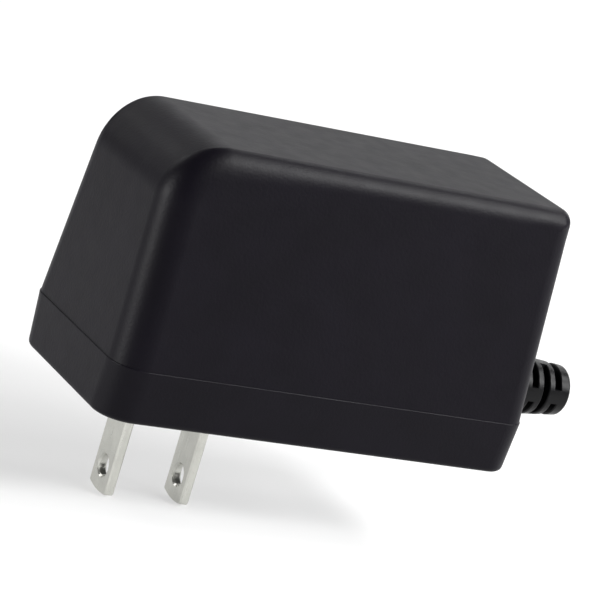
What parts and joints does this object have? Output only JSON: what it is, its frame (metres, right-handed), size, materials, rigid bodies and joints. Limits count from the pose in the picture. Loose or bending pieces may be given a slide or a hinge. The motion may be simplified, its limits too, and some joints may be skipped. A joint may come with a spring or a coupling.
{
  "type": "plug-in power adapter",
  "caption": "Plug-in mains power adapter: a tall tapered two-shell case with flat blades underneath and a ribbed strain relief at one end, its supply board and parts inside.",
  "frame": {"origin": "on the outlet face of the base, midway between the two blades", "axes": "+Z away from the outlet, up through the case, so the blades point down; +X along the case to the end where the cord leaves; +Y across the case"},
  "size_m": [0.0857, 0.0364, 0.0585],
  "materials": {
    "case": "fine moulded texture, near-black ABS",
    "blade": "nickel-plated brass, satin, stamped",
    "strain_relief": "soft black PVC, satin",
    "board": "brown phenolic laminate",
    "sheet": "pale insulating card",
    "fuse": "black moulded case",
    "thermistor": "dark green coated disc",
    "varistor": "blue epoxy-coated disc",
    "film_capacitor": "yellow moulded box",
    "ferrite": "dark grey sintered ferrite",
    "copper": "enamelled copper wire",
    "rectifier": "black moulded package",
    "can_sleeve": "dark shrunk sleeve over an aluminium can",
    "power_package": "black moulding on a tinned metal tab",
    "heatsink": "plain bent aluminium",
    "screw": "zinc-plated steel",
    "bobbin": "black phenolic moulding",
    "pin": "tinned wire",
    "tape": "yellow polyester tape",
    "safety_capacitor": "blue epoxy-coated ceramic disc",
    "chip": "black moulded chip with tinned leads",
    "optocoupler": "pale moulded package with tinned leads"
  },
  "bodies": {
    "root": {"cover": "case", "base": "case", "line_blade": "blade", "neutral_blade": "blade", "strain_relief": "strain_relief", "circuit_board": "board", "insulating_sheet": "sheet", "fuse": "fuse", "inrush_thermistor": "thermistor", "varistor": "varistor", "x_capacitor": "film_capacitor", "choke_core": "ferrite", "choke_windings": "copper", "bridge_rectifier": "rectifier", "bulk_capacitor": "can_sleeve", "switching_transistor": "power_package", "primary_heatsink": "heatsink", "output_diode": "power_package", "secondary_heatsink": "heatsink", "heatsink_screws": "screw", "transformer_lower_core": "ferrite", "transformer_upper_core": "ferrite", "transformer_bobbin": "bobbin", "transformer_pins": "pin", "transformer_winding": "copper", "transformer_tape": "tape", "y_capacitor": "safety_capacitor", "controller_chip": "chip", "optocoupler": "optocoupler", "output_capacitor": "can_sleeve", "output_choke_core": "ferrite", "output_choke_winding": "copper"}
  },
  "joints": []
}
